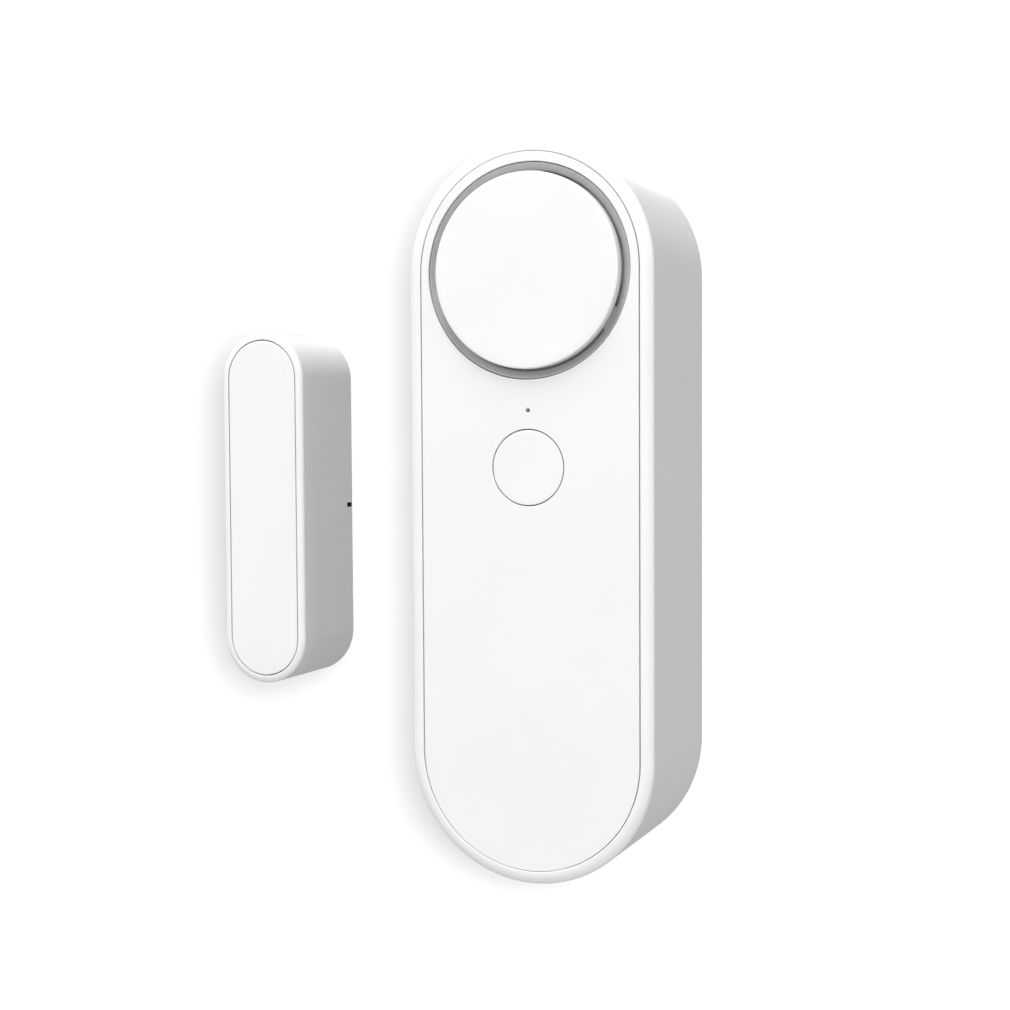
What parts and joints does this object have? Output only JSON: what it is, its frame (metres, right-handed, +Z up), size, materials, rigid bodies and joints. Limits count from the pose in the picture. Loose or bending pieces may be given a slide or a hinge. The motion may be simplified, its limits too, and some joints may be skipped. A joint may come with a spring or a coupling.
{
  "type": "door contact sensor",
  "caption": "Wireless door contact sensor with a round siren and test button, in a tall rounded case, with a slim separate magnet unit beside it.",
  "frame": {"origin": "middle of the sensor's adhesive pad, on the face that sticks to the wall or door frame", "axes": "+Z up along the tall case, +X to the right seen from the front, -Y out of the wall through the front face; the magnet unit is on the -X side"},
  "size_m": [0.0715, 0.0256, 0.1026],
  "materials": {
    "white_plastic": "fine satin moulded ABS, slightly glossy at the rounded rim",
    "panel_plastic": "fine matt moulded ABS",
    "grey_plastic": "matt mid-grey moulded ring",
    "dark_plastic": "matt black moulding",
    "clear_plastic": "clear moulded acrylic",
    "reed_glass": "drawn glass capsule",
    "foam_tape": "closed-cell foam tape with a paper-smooth adhesive face",
    "circuit_board": "satin green solder mask",
    "tinned_steel": "tinned sheet",
    "screw_steel": "zinc-plated machine finish",
    "contact_nickel": "nickel-plated spring steel",
    "brass_sheet": "rolled brass disc",
    "piezo_ceramic": "silvered ceramic face",
    "ferrite": "sintered ferrite",
    "capacitor_can": "drawn aluminium can",
    "battery_sleeve": "printed shrink sleeve without lettering",
    "red_insulation": "PVC insulation",
    "black_insulation": "PVC insulation",
    "magnet_plating": "nickel-plated neodymium bar"
  },
  "bodies": {
    "wall_plate": {"sensor_adhesive_pad": "foam_tape", "sensor_rear_plate": "white_plastic"},
    "sensor_body": {"sensor_housing": "white_plastic", "front_panel": "panel_plastic", "siren_cap": "white_plastic", "siren_ring": "grey_plastic", "siren_chamber": "dark_plastic", "siren_diaphragm": "brass_sheet", "siren_piezo": "piezo_ceramic", "siren_gasket": "foam_tape", "siren_screw_1": "screw_steel", "siren_screw_2": "screw_steel", "siren_screw_3": "screw_steel", "siren_wire_red": "red_insulation", "siren_wire_black": "black_insulation", "tact_switch": "dark_plastic", "led_light_pipe": "clear_plastic", "status_led": "clear_plastic", "main_circuit_board": "circuit_board", "radio_board": "circuit_board", "radio_shield": "tinned_steel", "boost_inductor": "ferrite", "storage_capacitor": "capacitor_can", "reed_switch_glass": "reed_glass", "reed_lead_upper": "tinned_steel", "reed_lead_lower": "tinned_steel", "battery_tray": "dark_plastic", "battery_1": "battery_sleeve", "battery_2": "battery_sleeve", "contact_positive": "contact_nickel", "contact_negative": "contact_nickel", "contact_bridge": "contact_nickel", "battery_spring_1": "contact_nickel", "battery_spring_2": "contact_nickel", "tray_screw_1": "screw_steel", "tray_screw_2": "screw_steel", "board_screw_1": "screw_steel", "board_screw_2": "screw_steel"},
    "button": {"button_cap": "panel_plastic"},
    "switch_plunger": {"tact_switch_plunger": "dark_plastic"},
    "magnet_unit": {"magnet_adhesive_pad": "foam_tape", "magnet_rear_cover": "white_plastic", "magnet_housing": "white_plastic", "magnet_front_panel": "panel_plastic", "magnet_cradle": "white_plastic", "magnet_bar": "magnet_plating"}
  },
  "joints": [
    {"name": "body_lift_off", "type": "slide", "parent": "wall_plate", "child": "sensor_body", "axis": [0, -1, 0], "range_m": [0, 0.035]},
    {"name": "button_press", "type": "slide", "parent": "sensor_body", "child": "button", "axis": [0, 1, 0], "range_m": [0, 0.0004], "stiffness_N_per_m": 800},
    {"name": "plunger_travel", "type": "slide", "parent": "sensor_body", "child": "switch_plunger", "axis": [0, 1, 0], "range_m": [0, 0.0004]},
    {"name": "door_opening", "type": "slide", "parent": "wall_plate", "child": "magnet_unit", "axis": [-1, 0, 0], "range_m": [0, 0.08]}
  ],
  "couplings": [
    {"joint": "plunger_travel", "follows": "button_press", "ratio": 1}
  ]
}
